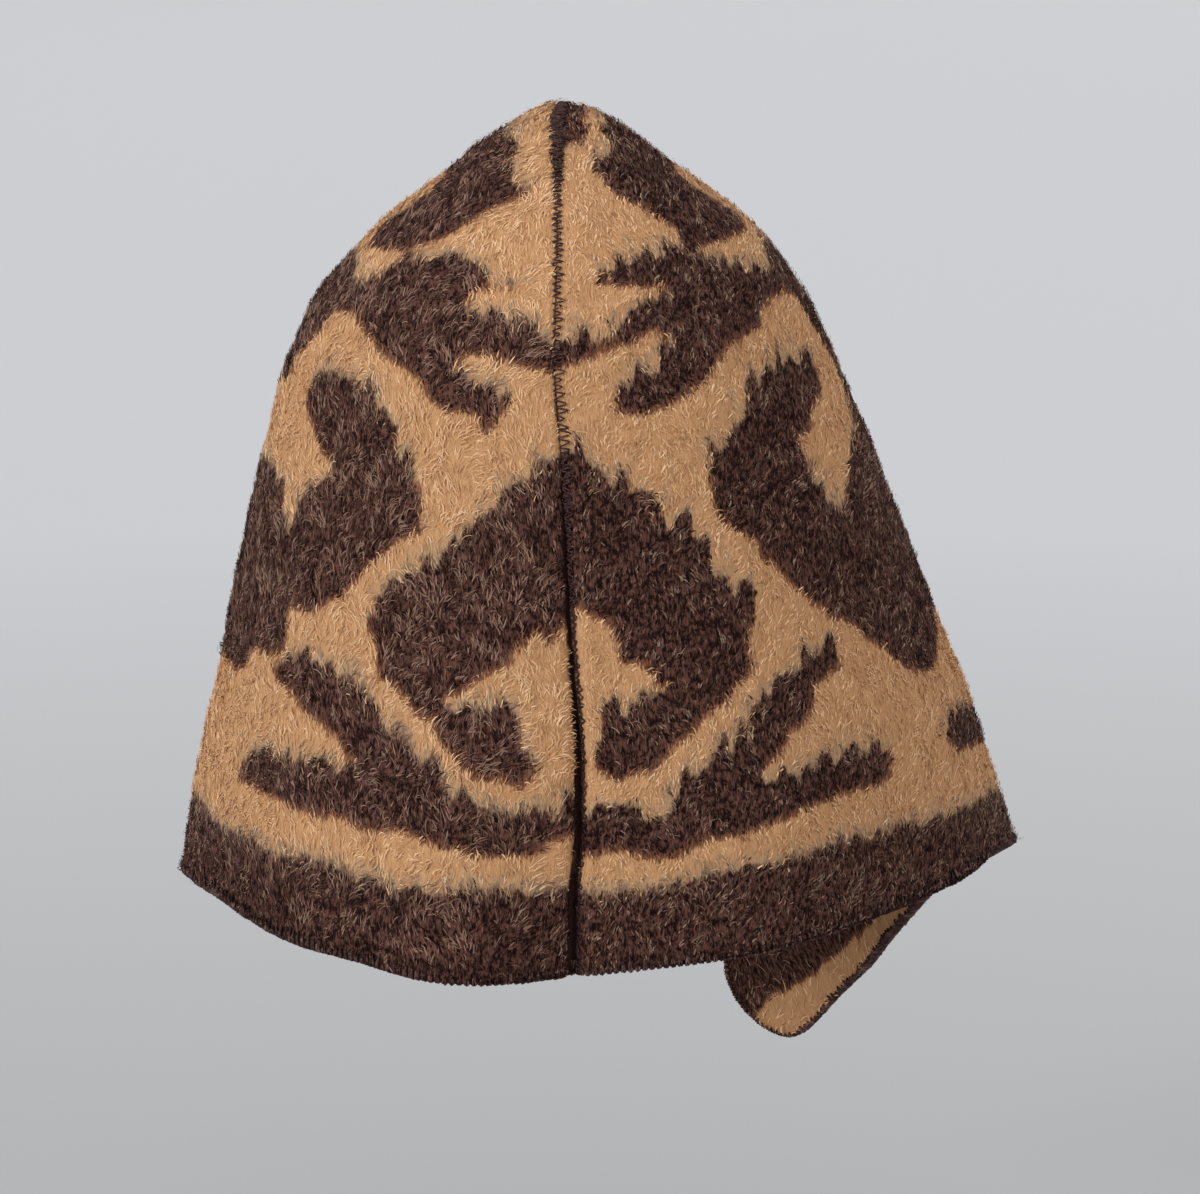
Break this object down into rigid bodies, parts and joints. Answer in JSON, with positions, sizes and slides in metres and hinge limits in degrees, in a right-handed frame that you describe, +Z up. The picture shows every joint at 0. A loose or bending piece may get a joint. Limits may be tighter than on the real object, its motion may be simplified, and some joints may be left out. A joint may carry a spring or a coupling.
{
  "type": "sauna hat",
  "caption": "Pointed wool blanket sauna hat of mirrored panels, with a seam up the back, a flared hem and an open face between long front corners.",
  "frame": {"origin": "where the top of the wearer's head sits inside the crown, 25 mm below the peak", "axes": "+Z up towards the peak, +Y out through the face opening, -Y out through the back seam, +X to the wearer's right"},
  "size_m": [0.3128, 0.3323, 0.3949],
  "materials": {
    "brushed_wool": "brushed wool blanket, warm beige and dark brown, reversed inside"
  },
  "bodies": {
    "root": {"left_panel": "brushed_wool", "right_panel": "brushed_wool"}
  },
  "joints": []
}
